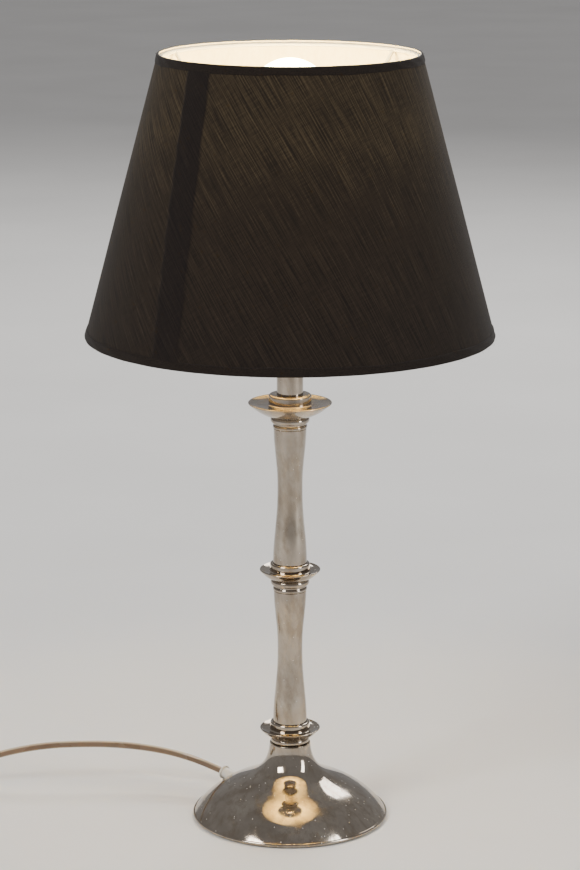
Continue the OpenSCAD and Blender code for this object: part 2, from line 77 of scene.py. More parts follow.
class Look:
    """A material under construction, with short calls for the nodes it needs."""

    def __init__(self, name, color, roughness, metallic=0.0):
        self.material = bpy.data.materials.new(name)
        self.material.use_nodes = True
        self.tree = self.material.node_tree
        self.shader = self.tree.nodes["Principled BSDF"]
        self.set("Base Color", (*color, 1))
        self.set("Roughness", roughness)
        self.set("Metallic", metallic)
        self.height = None

    def set(self, socket, value):
        self.shader.inputs[socket].default_value = value

    def node(self, kind, **values):
        made = self.tree.nodes.new("ShaderNode" + kind)
        for key, value in values.items():
            setattr(made, key, value)
        return made

    def link(self, source, target):
        self.tree.links.new(source, target)

    def give(self, socket, source):
        self.link(source, self.shader.inputs[socket])

    def place(self, scale=(1, 1, 1), turn=(0, 0, 0), kind="Object"):
        """Coordinates of the object or its UV map, turned and then scaled."""
        where = self.node("TexCoord")
        turned = self.node("Mapping")
        turned.inputs["Rotation"].default_value = [math.radians(a) for a in turn]
        self.link(where.outputs[kind], turned.inputs["Vector"])
        scaled = self.node("Mapping")
        scaled.inputs["Scale"].default_value = scale
        self.link(turned.outputs["Vector"], scaled.inputs["Vector"])
        return scaled.outputs["Vector"]

    def level(self):
        """Height above the table."""
        parts = self.node("SeparateXYZ")
        self.link(self.place(), parts.inputs[0])
        return parts.outputs["Z"]

    def noise(self, where, scale, detail, roughness=0.5):
        made = self.node("TexNoise")
        made.inputs["Scale"].default_value = scale
        made.inputs["Detail"].default_value = detail
        made.inputs["Roughness"].default_value = roughness
        self.link(where, made.inputs["Vector"])
        return made.outputs["Fac"]

    def dots(self, scale, size, share):
        """Round specks in a random share of the cells of a grid of that scale."""
        made = self.node("TexVoronoi")
        made.inputs["Scale"].default_value = scale
        self.link(self.place(), made.inputs["Vector"])
        parts = self.node("SeparateColor")
        self.link(made.outputs["Color"], parts.inputs[0])
        picked = self.spread(parts.outputs[0], share, share + 0.01, 1, 0)
        near = self.spread(made.outputs["Distance"], size, size * 1.4, 1, 0)
        return self.sum(near, picked, 1.0, "MULTIPLY")

    def wave(self, where, scale, direction, distortion):
        made = self.node("TexWave", bands_direction=direction)
        made.inputs["Scale"].default_value = scale
        made.inputs["Distortion"].default_value = distortion
        self.link(where, made.inputs["Vector"])
        return made.outputs["Fac"]

    def spread(self, source, low, high, to_low=0.0, to_high=1.0):
        """Maps low..high of a value to to_low..to_high, held at the ends."""
        made = self.node("MapRange")
        for key, value in zip(("From Min", "From Max", "To Min", "To Max"), (low, high, to_low, to_high)):
            made.inputs[key].default_value = value
        self.link(source, made.inputs["Value"])
        return made.outputs["Result"]

    def sum(self, a, b, share, operation="ADD"):
        """a plus share of b, or another operation on a and b."""
        scaled = self.node("Math", operation="MULTIPLY")
        self.link(b, scaled.inputs[0])
        scaled.inputs[1].default_value = share
        made = self.node("Math", operation=operation)
        self.link(a, made.inputs[0])
        self.link(scaled.outputs[0], made.inputs[1])
        return made.outputs[0]

    def colors(self, source, stops):
        """A colour ramp over (position, colour) stops."""
        ramp = self.node("ValToRGB")
        points = ramp.color_ramp.elements
        while len(points) < len(stops):
            points.new(0.5)
        for point, (position, color) in zip(points, stops):
            point.position = position
            point.color = (*color, 1)
        self.link(source, ramp.inputs["Fac"])
        return ramp.outputs["Color"]

    def mix(self, share, a, b):
        """Colour a where share is 0 and colour b where it is 1; b may be a fixed colour."""
        made = self.node("Mix", data_type="RGBA")
        self.link(share, made.inputs["Factor"])
        for socket, value in ((made.inputs[6], a), (made.inputs[7], b)):
            if isinstance(value, tuple):
                socket.default_value = (*value, 1)
            else:
                self.link(value, socket)
        return made.outputs[2]

    def bump(self, source, depth, strength):
        made = self.node("Bump")
        made.inputs["Distance"].default_value = depth
        made.inputs["Strength"].default_value = strength
        self.link(source, made.inputs["Height"])
        if self.height:
            self.link(self.height, made.inputs["Normal"])
        self.height = made.outputs["Normal"]
        self.give("Normal", self.height)


# ---------------- mesh building


def turns(count):
    """Angles of equal steps round a full turn."""
    return [2 * math.pi * k / count for k in range(count)]


def shares(steps):
    """From 0 to 1 in equal steps."""
    return [k / steps for k in range(steps + 1)]


def polar(angle, radius, height=0):
    """A point round the Z axis."""
    return Vector((radius * math.cos(angle), radius * math.sin(angle), height))


def add_mesh(name, points, faces, sharp, uvs=None):
    """A mesh object from points and faces, smooth except at edges sharper than that angle."""
    mesh = bpy.data.meshes.new(name)
    mesh.from_pydata([tuple(p) for p in points], [], faces)
    if uvs:
        layer = mesh.uv_layers.new(name="surface")
        for loop in mesh.loops:
            layer.data[loop.index].uv = uvs[loop.vertex_index]
    work = bmesh.new()
    work.from_mesh(mesh)
    bmesh.ops.remove_doubles(work, verts=work.verts, dist=1e-7)
    bmesh.ops.recalc_face_normals(work, faces=work.faces)
    work.to_mesh(mesh)
    work.free()
    for face in mesh.polygons:
        face.use_smooth = True
    mesh.set_sharp_from_angle(angle=math.radians(sharp))
    made = bpy.data.objects.new(name, mesh)
    bpy.context.collection.objects.link(made)
    return made


def turned(name, outline, steps, sharp=35, matrix=None, wobble=None):
    """A closed outline of (radius, height) points turned about Z. wobble(angle, radius, height) moves it."""
    points, faces, count = [], [], len(outline)
    for angle in turns(steps):
        for radius, height in outline:
            r, z = wobble(angle, radius, height) if wobble else (radius, height)
            points.append(polar(angle, r, z))
    for step in range(steps):
        here, there = step * count, (step + 1) % steps * count
        for k in range(count):
            after = (k + 1) % count
            if outline[k][0] < 1e-6 and outline[after][0] < 1e-6:
                continue
            corners = [here + k, there + k, there + after, here + after]
            if outline[k][0] < 1e-6:
                corners = [here + k, there + after, here + after]
            elif outline[after][0] < 1e-6:
                corners = [here + k, there + k, here + after]
            faces.append(corners)
    if matrix:
        points = [matrix @ p for p in points]
    return add_mesh(name, points, faces, sharp)


def tube(name, rings, sharp=50):
    """A skin over rings of points, with flat ends."""
    count, points, faces = len(rings[0]), [p for ring in rings for p in ring], []
    for here in range(0, len(points) - count, count):
        for s in range(count):
            after = (s + 1) % count
            faces.append([here + s, here + after, here + count + after, here + count + s])
    faces += [list(range(count)), [len(points) - count + s for s in range(count)]]
    return add_mesh(name, points, faces, sharp)


def heading(path, k):
    """The way that a path runs at its point k."""
    return (Vector(path[min(k + 1, len(path) - 1)]) - Vector(path[max(k - 1, 0)])).normalized()


def round_wire(name, path, radius):
    """A round wire along a path of points."""
    rings, across = [], None
    for k, point in enumerate(path):
        along = heading(path, k)
        if across is None:
            across = along.orthogonal().normalized()
        across = (across - along * across.dot(along)).normalized()
        other = along.cross(across)
        rings.append([point + radius * (across * math.cos(a) + other * math.sin(a)) for a in turns(16)])
    return tube(name, rings)


def arc(centre, radius, start, end, steps):
    """Points of an arc, angles in degrees."""
    cx, cy = centre
    angles = [math.radians(start + (end - start) * t) for t in shares(steps)]
    return [(cx + radius * math.cos(a), cy + radius * math.sin(a)) for a in angles]


def bezier(controls, share):
    a, b, c, d = (Vector(p) for p in controls)
    back = 1 - share
    return a * back**3 + b * (3 * back * back * share) + c * (3 * back * share * share) + d * share**3


def inset(path, depth):
    """The path moved to its right-hand side, which is the inside of an outline drawn downwards."""
    moved = []
    for k, point in enumerate(path):
        way = heading(path, k)
        moved.append((point[0] + depth * way.y, point[1] - depth * way.x))
    return moved


def stand_at(place, degrees, axis):
    """Moves a shape from the origin to a place, after a turn about one axis."""
    return Matrix.Translation(place) @ Matrix.Rotation(math.radians(degrees), 4, axis)


def mm(points):
    return [tuple(value * MM for value in p) for p in points]


def span(node):
    """Lowest height, highest height and outer radius of a node that is round about the lamp's axis."""
    low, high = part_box(node)
    return low[2], high[2], high[0]


def span_mm(node):
    return [v / MM for v in span(node)]


def cut_away(piece, cutter, name):
    """Cuts the cutter's shape out of a piece, and removes the cutter."""
    hole = piece.modifiers.new(name, "BOOLEAN")
    hole.operation = "DIFFERENCE"
    hole.object = cutter
    bpy.context.view_layer.objects.active = piece
    bpy.ops.object.modifier_apply(modifier=hole.name)
    bpy.data.objects.remove(cutter)


def finish_piece(piece, look, body, slot, *nodes):
    piece.data.materials.append(look)
    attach(piece, body)
    if nodes:
        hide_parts(*nodes)
    return piece


def paint(look, *nodes):
    """Puts a material on CAD nodes that keep their own shape."""
    for node in nodes:
        slots = NODES[node].material_slots
        if not slots:
            NODES[node].data.materials.append(look)
        for held in slots:
            held.material = look


# ---------------- materials


def nickel():
    """Dark polished nickel with turning lines, fine scratches, wipe marks and settled dust."""
    look = Look("nickel", (0.45, 0.39, 0.32), 0.12, 1.0)
    smudge = look.noise(look.place(), 38, 5, 0.6)
    tone = look.colors(smudge, [(0.25, (0.3, 0.25, 0.2)), (0.55, (0.43, 0.375, 0.31)),
                                (0.8, (0.5, 0.45, 0.375))])
    smear = look.spread(look.noise(look.place((120, 120, 48), (8, 14, 0)), 1, 5, 0.65), 0.46, 0.62)
    tone = look.mix(look.spread(smear, 0, 1, 0, 0.5), tone, (0.25, 0.19, 0.13))
    scratch = look.noise(look.place((900, 900, 60), (12, 25, 0)), 1, 2, 0.6)
    scratch_mask = look.spread(scratch, 0.66, 0.72)
    rub = look.spread(smudge, 0.45, 0.8, 0.035, 0.16)
    worn = look.sum(look.sum(rub, scratch_mask, 0.12), smear, 0.1)
    speck = look.sum(look.dots(430, 0.13, 0.12), look.dots(210, 0.05, 0.07), 1.0, "MAXIMUM")
    look.give("Base Color", look.mix(speck, tone, (0.62, 0.57, 0.5)))
    look.give("Metallic", look.spread(speck, 0, 1, 1, 0.2))
    look.give("Roughness", look.sum(worn, speck, 0.6))
    look.bump(look.wave(look.place(), 1500, "Z", 1.5), 0.000002, 0.15)
    look.bump(scratch_mask, 0.00001, 0.3)
    return look.material


def plain(name, color, roughness, metallic, grain, shift, depth, coat=0.0):
    """A moulded, cast or rolled surface: mottled colour, uneven gloss and a fine grain."""
    look = Look(name, color, roughness, metallic)
    patch = look.noise(look.place(), grain / 8, 4)
    dark = tuple(c * (1 - shift) for c in color)
    light = tuple(min(1, c * (1 + shift)) for c in color)
    look.give("Base Color", look.colors(patch, [(0.3, dark), (0.7, light)]))
    look.give("Roughness", look.spread(patch, 0.3, 0.7, roughness * 0.8, min(1, roughness * 1.25)))
    look.bump(look.noise(look.place(), grain, 2), depth, 0.6)
    look.set("Coat Weight", coat)
    look.set("Coat Roughness", 0.1)
    return look.material


def shade_fabric():
    """Dark slubby cloth, its threads laid out on the flat cut of the cone, with a painted glow of the bulb's
    light through the weave, and its overlap painted darker.
    """
    look = Look("shade_fabric", (0.03, 0.02, 0.014), 0.85)
    slant = 60  # degrees that the thick threads fall away from level, from upper left to lower right
    slub = look.noise(look.place((26, 1100, 1), (0, 0, slant), "UV"), 1, 3, 0.6)
    weft = look.noise(look.place((1500, 90, 1), (0, 0, slant), "UV"), 1, 2, 0.5)
    fine = look.wave(look.place((1, 1, 1), (0, 0, slant), "UV"), 420, "Y", 1.2)
    cross = look.wave(look.place((1, 1, 1), (0, 0, slant), "UV"), 420, "X", 1.0)
    threads = look.sum(slub, weft, 0.3)
    seam = look.node("Attribute", attribute_name="layers").outputs["Fac"]
    tone = look.colors(threads, [(0.5, (0.007, 0.005, 0.004)), (0.75, (0.019, 0.013, 0.009)),
                                 (1.0, (0.042, 0.031, 0.021))])
    # Painted shade: the overlap is darker in base colour, standing in for less of the bulb's light through
    # two layers of cloth.
    look.give("Base Color", look.mix(look.spread(seam, 0, 1, 0, 0.5), tone, (0.005, 0.003, 0.003)))
    # Painted glow: emission stands in for the bulb's light through the cloth. It is brighter towards the
    # bulb's height, follows the threads, and is dimmer on the overlap.
    near_bulb = look.spread(look.level(), 0.39, 0.53, 0.3, 1)
    lit = look.sum(threads, near_bulb, 1.0, "MULTIPLY")
    glow = look.colors(lit, [(0.1, (0.004, 0.002, 0.001)), (0.55, (0.028, 0.018, 0.006)),
                             (0.8, (0.12, 0.085, 0.035))])
    look.give("Emission Color", look.mix(seam, glow, (0.002, 0.001, 0.0005)))
    look.set("Emission Strength", 0.3)
    look.set("Specular IOR Level", 0.15)
    look.set("Sheen Weight", 0.06)
    look.set("Sheen Roughness", 0.5)
    weave = look.sum(fine, cross, 1.0, "MULTIPLY")
    look.bump(weave, 0.00008, 0.5)
    look.bump(threads, 0.0003, 0.5)
    return look.material


def trim_fabric():
    look = Look("trim_fabric", (0.02, 0.012, 0.008), 0.88)
    thread = look.noise(look.place((900, 900, 2200)), 1, 3, 0.6)
    tone = look.colors(thread, [(0.35, (0.006, 0.004, 0.003)), (0.75, (0.024, 0.016, 0.011))])
    look.give("Base Color", tone)
    look.set("Specular IOR Level", 0.15)
    look.set("Sheen Weight", 0.08)
    look.bump(thread, 0.0002, 0.7)
    return look.material


def lining():
    """Warm white laminated sheet with a faint fibre."""
    look = Look("lining", (0.86, 0.78, 0.62), 0.4)
    fibre = look.noise(look.place((300, 300, 120)), 1, 4, 0.6)
    look.give("Base Color", look.colors(fibre, [(0.3, (0.8, 0.71, 0.5)), (0.7, (0.88, 0.81, 0.63))]))
    look.give("Roughness", look.spread(fibre, 0.3, 0.7, 0.35, 0.55))
    look.bump(fibre, 0.00006, 0.5)
    return look.material


def lead_pvc():
    """Half-clear lead: copper tone showing through on the flats, a painted highlight that makes both ridges
    paler, faint draw marks.
    """
    look = Look("lead_pvc", (0.3, 0.2, 0.11), 0.28)
    flat = look.node("Attribute", attribute_name="flat_side").outputs["Fac"]
    strand = look.noise(look.place(), 30, 2, 0.5)
    core = look.colors(strand, [(0.3, (0.12, 0.068, 0.032)), (0.7, (0.17, 0.1, 0.05))])
    # Painted highlight: both ridges are paler than the flats, standing in for the lit top edge.
    rim = look.colors(strand, [(0.3, (0.46, 0.37, 0.25)), (0.7, (0.56, 0.47, 0.34))])
    look.give("Base Color", look.mix(flat, rim, core))
    look.give("Roughness", look.spread(strand, 0.3, 0.7, 0.18, 0.36))
    look.set("Coat Weight", 0.6)
    look.set("Coat Roughness", 0.12)
    look.set("Subsurface Weight", 0.15)
    look.set("Subsurface Scale", 0.002)
    look.bump(look.noise(look.place(), 900, 2), 0.00005, 0.5)
    return look.material


LIT = (1.0, 0.74, 0.28)


def lit_glass():
    """Opal bulb glass, lit from within, a little dimmer towards its neck."""
    look = Look("lit_glass", (0.95, 0.9, 0.8), 0.25)
    low, high, _ = span("bulb_glass")
    share = look.spread(look.level(), low, high)
    cloud = look.sum(share, look.noise(look.place(), 60, 3), 0.12)
    look.give("Emission Color", look.colors(cloud, [(0.0, (0.5, 0.33, 0.1)), (0.35, (0.95, 0.67, 0.24)),
                                                    (0.8, LIT), (1.0, (1.0, 0.78, 0.36))]))
    look.set("Emission Strength", 80)
    return look.material


def clear_glass():
    look = Look("stem_glass", (0.95, 0.95, 0.95), 0.05)
    streak = look.noise(look.place((200, 200, 40)), 1, 2)
    look.give("Roughness", look.spread(streak, 0.3, 0.7, 0.02, 0.1))
    look.set("Transmission Weight", 0.9)
    return look.material


def floor_look():
    look = Look("floor", (0.78, 0.76, 0.73), 0.75)
    soft = look.noise(look.place(), 3, 3)
    look.give("Base Color", look.colors(soft, [(0.3, (0.75, 0.73, 0.7)), (0.7, (0.8, 0.78, 0.75))]))
    return look.material


NICKEL = nickel()
FABRIC = shade_fabric()
TRIM = trim_fabric()
LINING = lining()
LEAD = lead_pvc()
STEEL = plain("zinc_steel", (0.62, 0.6, 0.56), 0.32, 1.0, 900, 0.08, 0.000008)
WHITE_WIRE = plain("white_wire", (0.8, 0.77, 0.7), 0.35, 0.0, 500, 0.06, 0.00002, 0.4)
BRASS = plain("brass", (0.8, 0.6, 0.27), 0.28, 1.0, 700, 0.1, 0.000008)
IRON = plain("cast_iron", (0.1, 0.1, 0.1), 0.7, 0.6, 500, 0.3, 0.0002)
FELT = plain("felt", (0.04, 0.04, 0.042), 0.95, 0.0, 1400, 0.35, 0.0003)
BAKELITE = plain("bakelite", (0.018, 0.014, 0.012), 0.22, 0.0, 300, 0.25, 0.00001, 0.5)
PORCELAIN = plain("porcelain", (0.82, 0.8, 0.74), 0.25, 0.0, 300, 0.05, 0.00001, 0.6)
BUTTON = plain("button_plastic", (0.8, 0.77, 0.7), 0.3, 0.0, 500, 0.05, 0.00001, 0.3)
BUSHING = plain("bushing_plastic", (0.72, 0.68, 0.6), 0.3, 0.0, 400, 0.08, 0.00002, 0.4)
PLUG = plain("plug_plastic", (0.34, 0.25, 0.16), 0.38, 0.0, 800, 0.1, 0.00003, 0.2)
PIN = plain("pin_nickel", (0.72, 0.7, 0.66), 0.2, 1.0, 900, 0.06, 0.000006)
TIE = plain("tie_cloth", (0.02, 0.02, 0.021), 0.9, 0.0, 1500, 0.3, 0.0002)
BLACK_GLASS = plain("black_glass", (0.015, 0.013, 0.02), 0.12, 0.0, 300, 0.2, 0.00001)
GLOW = lit_glass()
CLEAR = clear_glass()

# ---------------- mains lead

LEAD_WIDTH = 0.0054
LEAD_THICKNESS = 0.0032
CORE_RADIUS = LEAD_THICKNESS / 2
GLAND = Vector((-0.046, 0.0305, 0.0192))
GLAND_TURN = 138
GLAND_TILT = 8
# Points of the route in millimetres, from the bushing to the coil, and from the coil to the plug
ROUTE_LEAD = [
    (-41.5, 26.5, 18.4), (-46, 30.5, 19.2), (-52, 36, 20.4), (-59, 42, 21.4), (-68, 49, 22.8),
    (-79, 55, 24.8), (-94, 60, 27.4), (-112, 63.5, 29.7), (-130, 65.5, 31.1), (-148, 66, 31.9),
    (-166, 65.5, 32), (-184, 64.5, 31.6), (-202, 63.5, 29.8), (-218, 63, 26.8), (-232, 62.5, 23.2),
    (-245, 62.3, 19.2), (-257, 62.2, 15.4), (-268, 62.2, 12.3), (-276, 62.2, 10.4), (-284, 62.2, 9.3),
]
ROUTE_TAIL = [
    (-247.2, 99, 3.6), (-247.3, 90, 3.5), (-248, 80, 3.2), (-250.5, 68, 3), (-253.5, 57, 3.6),
    (-255, 48, 5.4), (-255, 40, 6.9),
]
COIL_TURNS = 7.75
COIL_STEPS = 48  # points in each turn
COIL_DEPTH = 0.0128  # from the middle of the innermost turn to the middle of the outermost
COIL_UNEVEN = 0.00012
CORE_GROOVE = 0.00022  # how deep the flat side dips between the two cores
SECTION_POINTS = 28
ROUTE_STEPS = 6  # points in each stretch of the route


def smooth_route(route):
    """Points of the smooth curve through the route's points."""
    points = [Vector(p) * MM for p in route]
    last, path = len(points) - 1, []
    for k in range(last):
        a, b, c, d = (points[min(max(k + j, 0), last)] for j in (-1, 0, 1, 2))
        for step in range(ROUTE_STEPS):
            t = step / ROUTE_STEPS
            path.append(0.5 * (2 * b + (c - a) * t + (2 * a - 5 * b + 4 * c - d) * t * t
                               + (3 * b - a - 3 * c + d) * t**3))
    return [*path, points[last]]


def ease(low, high, value):
    """0 up to low, 1 from high, and a smooth step between them."""
    share = min(max((value - low) / (high - low), 0), 1)
    return share * share * (3 - 2 * share)


def coil_path():
    """The turns: inwards over the upper layer, down at the inside, and outwards over the lower one."""
    low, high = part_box("cord_coil")
    centre = Vector((low[0] + high[0], low[1] + high[1], 0)) / 2
    outer = (high[0] - low[0]) / 2 - CORE_RADIUS
    inner = outer - COIL_DEPTH
    upper, lower = high[2] - LEAD_WIDTH / 2, low[2] + LEAD_WIDTH / 2
    half, path = COIL_TURNS / 2, []
    for step in range(1, int(COIL_TURNS * COIL_STEPS)):
        turn = step / COIL_STEPS
        radius = inner + (outer - inner) * abs(turn - half) / half
        height = upper + (lower - upper) * ease(half - 0.25, half + 0.25, turn)
        angle = math.radians(-90 - 360 * turn)
        settle = COIL_UNEVEN * math.sin(3 * angle + 2.1 * turn)
        path.append(centre + polar(angle, radius + settle, height))
    return path


def lead_section():
    """(across the thin way, along the wide way, share of flat side) round two joined cores."""
    section, reach = [], LEAD_WIDTH / 2 - CORE_RADIUS
    for angle in turns(SECTION_POINTS):
        wide = LEAD_WIDTH / 2 * math.sin(angle)
        over = abs(wide) - reach
        if over > 0:
            thin = math.sqrt(max(CORE_RADIUS**2 - over**2, 0))
        else:
            thin = CORE_RADIUS - CORE_GROOVE * (0.5 + 0.5 * math.cos(math.pi * wide / reach))
        flat = 1 - ease(0.5, 0.95, abs(math.sin(angle)))
        section.append((math.copysign(thin, math.cos(angle)), wide, flat))
    return section


def build_lead():
    path = smooth_route(ROUTE_LEAD) + coil_path() + smooth_route(ROUTE_TAIL)
    section, rings = lead_section(), []
    for k, point in enumerate(path):
        along = heading(path, k)
        thin_way = Vector((along.y, -along.x, 0)).normalized()
        wide_way = thin_way.cross(along)
        rings.append([point + thin_way * thin + wide_way * wide for thin, wide, _ in section])
    lead = tube("mains_lead", rings)
    flats = [flat for _ in rings for _, _, flat in section]
    store = lead.data.attributes.new("flat_side", "FLOAT", "POINT")
    store.data.foreach_set("value", flats)
    finish_piece(lead, LEAD, "stand", "cord_pvc", "cord_lead", "cord_coil", "cord_tail")
    return lead, path


LEAD_PIECE, LEAD_PATH = build_lead()


def at_gland():
    """The bushing's own axes: +Z points out of the bell along the lead."""
    return stand_at(GLAND, GLAND_TURN, "Z") @ Matrix.Rotation(math.radians(90 - GLAND_TILT), 4, "Y")


def build_bushing():
    bore, body = 3.0, 4.2
    lip = arc((body + 0.3, 6.9), 0.8, -10, 80, 6)
    outline = [(bore, -10), (body, -10), (body, 5.9), (body + 0.9, 6.1), *lip,
               (bore + 0.5, 8), (bore + 0.1, 7.8), (bore, 7.4)]
    piece = turned("lead_bushing", mm(outline), 64, matrix=at_gland())
    finish_piece(piece, BUSHING, "stand", "bushing", "cord_bushing")


TIE_TURN = 205  # degrees from +X to the strap's place on the coil
TIE_INNER = 0.0216  # from the coil's middle to the strap's inner side


def build_tie():
    """A cloth strap wrapped round the coil's turns, with its free end pressed down."""
    low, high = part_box("cord_coil")
    centre = Vector((low[0] + high[0], low[1] + high[1], 0)) / 2
    turn = math.radians(TIE_TURN)
    slack, corner, thick, end = 0.00005, 0.0022, 0.0007, 0.003
    half_width, chamfer = 0.004, 0.0003
    inner, outer = TIE_INNER, (high[0] - low[0]) / 2 + 0.0003
    bottom, top = low[2] - slack, high[2] + slack
    loop = []
    for cx, cz, start in ((outer - corner, top - corner, 0), (inner + corner, top - corner, 90),
                          (inner + corner, bottom + corner, 180), (outer - corner, bottom + corner, 270)):
        loop += arc((cx, cz), corner, start, start + 90, 6)
    over = thick + slack
    loop += arc((outer - corner, top - corner), corner + over, 0, 90, 6)
    loop.append((outer - corner - end, top + over))
    rings, flat = [], half_width - chamfer
    for k, (x, z) in enumerate(loop):
        way, ring = heading(loop, k), []
        for across, out in ((-half_width, 0), (-flat, thick), (flat, thick), (half_width, 0)):
            local = Vector((x + out * way.y, across, z - out * way.x))
            ring.append(Matrix.Rotation(turn, 3, "Z") @ local + centre)
        rings.append(ring)
    piece = tube("coil_tie", rings, sharp=60)
    return finish_piece(piece, TIE, "stand", "tie_black", "cord_tie")


def build_plug():
    """Flat two-pole plug: waisted grip, ribbed thumb panels, and a grooved strain relief."""
    low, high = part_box("plug_body")
    middle, face, height = (low[0] + high[0]) / 2, low[1], (low[2] + high[2]) / 2
    # station along the plug, half width, half thickness, all in millimetres
    stations = [(0, 12.6, 6.1), (0.5, 13, 6.6), (3, 14.2, 6.8), (6, 16.2, 6.85), (9, 17.5, 6.85),
                (13, 17.55, 6.8), (17, 17.3, 6.7), (20, 16.4, 6.75), (23, 14.7, 6.8), (26, 12.2, 6.7),
                (28, 9.6, 6.3), (29.4, 7.2, 5.7), (30, 6, 5.2)]
    rings, squareness = [], 0.42
    rib_depth, rib_start, rib_end, rib_rate, rib_reach = 0.25, 8, 20, 2.6, 8
    for here, there in zip(stations, stations[1:]):
        for share in shares(3)[:-1]:
            along, wide, thick = (a + (b - a) * share for a, b in zip(here, there))
            ring = []
            for angle in turns(64):
                c, z = math.cos(angle), math.sin(angle)
                ribbed = ease(rib_start, rib_start + 1, along) * (1 - ease(rib_end - 1, rib_end, along))
                rib = rib_depth * ribbed * math.sin(rib_rate * along) ** 2
                x = wide * math.copysign(abs(c) ** squareness, c)
                up = (thick - rib * (abs(x) < rib_reach)) * math.copysign(abs(z) ** squareness, z)
                ring.append(Vector((middle + x * MM, face + along * MM, height + up * MM)))
            rings.append(ring)
    body = tube("plug_grip", rings, sharp=40)
    finish_piece(body, PLUG, "stand", "plug_pvc", "plug_body")
    relief = [(0, 29)]
    for k in range(5):
        radius, base = 5.2 - 0.32 * k, 29.4 + 1.3 * k
        relief += [(radius, base), (radius - 0.1, base + 0.8),
                   (radius - 1, base + 0.9), (radius - 1, base + 1.2)]
    relief += [(3.5, 35.8), (3.3, 36), (0, 36)]
    sleeve = turned("plug_relief", mm(relief), 48, matrix=stand_at((middle, face, height), -90, "X"))
    finish_piece(sleeve, PLUG, "stand", "plug_pvc")
    return body, sleeve


def build_pins():
    pins_low, pins_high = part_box("plug_pins")
    height, face = (pins_low[2] + pins_high[2]) / 2, pins_high[1]
    radius = 2.0
    bare = radius - 0.05
    metal = [(0, 0), (bare, 0), (bare, 17.4), *arc((0.35, 17.4), 1.6, 0, 90, 8), (0, 19)]
    skin = [(1.9, 0), (radius, 0), (radius, 9.8), (1.96, 10), (1.9, 10)]
    made = []
    for name, x in (("left", pins_low[0] + radius * MM), ("right", pins_high[0] - radius * MM)):
        out = stand_at((x, face, height), 90, "X")
        pin = turned("plug_pin_" + name, mm(metal), 40, matrix=out)
        finish_piece(pin, PIN, "stand", "pin_nickel", "plug_pins")
        sleeve = turned("plug_pin_sleeve_" + name, mm(skin), 40, matrix=out)
        finish_piece(sleeve, PLUG, "stand", "plug_pvc")
        made += [pin, sleeve]
    return made


build_bushing()
TIE_PIECE = build_tie()
PLUG_PIECES = [*build_plug(), *build_pins()]

# ---------------- base

BELL_NECK = [(15.4, 58), (16.5, 38), (26, 34), (42, 27)]
BELL_EDGE = (72.6, 3.4)
BELL_ARC_RADIUS = 78
BELL_WALL = 1.2
RIM_CENTRE = (72.4, 2)
RIM_RADIUS = 1.6
RIM_INSIDE = 70.6
NECK_INSIDE = 14.2
ROD_HOLE = 5.1


def spin_metal(name, outline, node, steps=128):
    """A turned piece of the lamp's polished metal, in the place of a CAD node."""
    finish_piece(turned(name, mm(outline), steps), NICKEL, "stand", "polished_nickel", node)


def arc_between(start, end, radius, steps):
    """Points after start of the arc to end that bulges up and out."""
    a, b = Vector(start), Vector(end)
    way = (b - a).normalized()
    centre = (a + b) / 2 + Vector((way.y, -way.x)) * math.sqrt(radius**2 - ((b - a).length / 2) ** 2)
    first, last = (math.degrees(math.atan2(p.y - centre.y, p.x - centre.x)) for p in (a, b))
    return arc(centre, radius, first, last, steps)[1:]


def build_bell():
    top = BELL_NECK[0]
    neck = [tuple(bezier(BELL_NECK, 0.02 + 0.98 * t)) for t in shares(48)]
    outer = neck + arc_between(BELL_NECK[-1], BELL_EDGE, BELL_ARC_RADIUS, 40)
    inner = [p for p in inset(outer, BELL_WALL) if 5 < p[1] < top[1] - 2]
    rim = arc(RIM_CENTRE, RIM_RADIUS, 65, -150, 24)
    shoulder = arc((top[0] - 0.5, top[1] - 0.5), 0.5, 90, 20, 5)
    ceiling = top[1] - 1.6
    outline = [(ROD_HOLE, top[1]), *shoulder, *outer, *rim,
               (RIM_INSIDE, 1.2), (RIM_INSIDE, 4.2), *reversed(inner),
               (NECK_INSIDE, ceiling), (ROD_HOLE, ceiling)]
    piece = turned("bell_base", mm(outline), 256, sharp=30)
    cutter = turned("gland_cutter", mm([(0, -13), (4.2, -13), (4.2, 20), (0, 20)]), 48, matrix=at_gland())
    cut_away(piece, cutter, "gland_hole")
    finish_piece(piece, NICKEL, "stand", "polished_nickel", "base_shell")


def bead(radius, low, high, root):
    """Half of a round bead between two heights, from its foot up."""
    return [(root + (radius - root) * x, (low + high) / 2 + (high - low) / 2 * y)
            for x, y in arc((0, 0), 1, -90, 90, 16)]


def lift(points, height):
    return [(r, z + height) for r, z in points]


def build_collars():
    low, high, radius = span_mm("base_collar")
    outline = [(ROD_HOLE, low), *bead(radius, low, high, radius - 1.6), (ROD_HOLE, high)]
    spin_metal("bell_collar", outline, "base_collar")
    small_bead = bead(12.8, 0, 2.8, 11.8)
    cove = arc((13.1, 3.55), 1.2, 215, 145, 6)
    for name in ("middle_collar", "top_collar"):
        low, high, radius = span_mm(name)
        tall = high - low
        outline = [(ROD_HOLE, 0), *small_bead, *cove, *bead(radius, 4.3, tall, radius - 2), (ROD_HOLE, tall)]
        spin_metal(name + "_turned", lift(outline, low), name)


